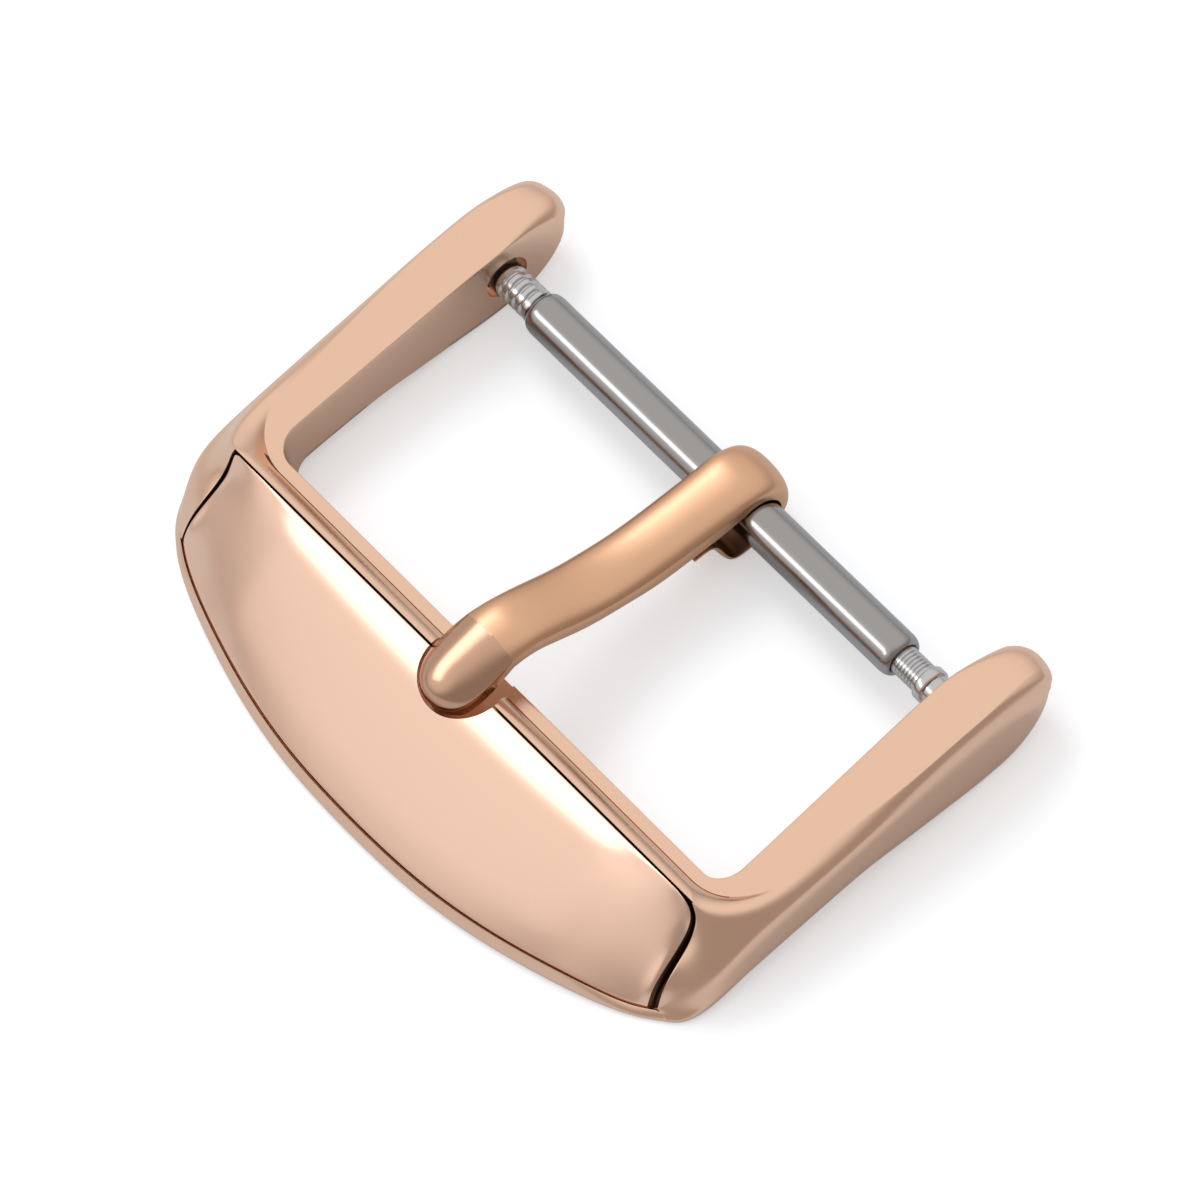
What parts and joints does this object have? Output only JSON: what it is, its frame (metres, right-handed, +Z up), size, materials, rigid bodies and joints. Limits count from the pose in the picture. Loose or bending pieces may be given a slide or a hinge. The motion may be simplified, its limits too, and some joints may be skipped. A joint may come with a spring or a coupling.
{
  "type": "watch strap buckle",
  "caption": "Pin buckle for a watch strap: frame with a polished curved plate, swinging tongue and a spring bar with sprung tips.",
  "frame": {"origin": "on the table under the middle of the buckle's box, with the lobes and the front lip resting on the table", "axes": "+X to the wearer's right along the spring bar, +Y from the front bar towards the spring bar and the strap, +Z up out of the polished face"},
  "size_m": [0.0218, 0.016, 0.0036],
  "materials": {
    "rose_gold_cast": "rose gold plated, polished",
    "rose_gold_polished": "rose gold plated, mirror polished",
    "rose_gold_satin": "rose gold plated, satin",
    "steel_tube": "polished stainless steel",
    "steel_tips": "turned stainless steel",
    "spring_wire": "drawn steel wire"
  },
  "bodies": {
    "frame": {"buckle_frame": "rose_gold_cast", "front_plate": "rose_gold_polished"},
    "tongue": {"tongue": "rose_gold_satin"},
    "bar": {"bar_tube": "steel_tube", "plunger_spring": "spring_wire"},
    "left_tip": {"left_plunger": "steel_tips"},
    "right_tip": {"right_plunger": "steel_tips"}
  },
  "joints": [
    {"name": "tongue_swing", "type": "hinge", "parent": "frame", "child": "tongue", "pos_m": [0, 0.00547, 0.00124], "axis": [-1, 0, 0], "range_deg": [0, 180]},
    {"name": "bar_spin", "type": "hinge", "parent": "frame", "child": "bar", "pos_m": [0, 0.00547, 0.00124], "axis": [1, 0, 0], "continuous": true},
    {"name": "left_tip_slide", "type": "slide", "parent": "bar", "child": "left_tip", "axis": [1, 0, 0], "range_m": [0, 0.00084], "stiffness_N_per_m": 500, "springref_m": -0.002, "deforming": ["plunger_spring"]},
    {"name": "right_tip_slide", "type": "slide", "parent": "bar", "child": "right_tip", "axis": [-1, 0, 0], "range_m": [0, 0.00084], "stiffness_N_per_m": 500, "springref_m": -0.002, "deforming": ["plunger_spring"]}
  ]
}
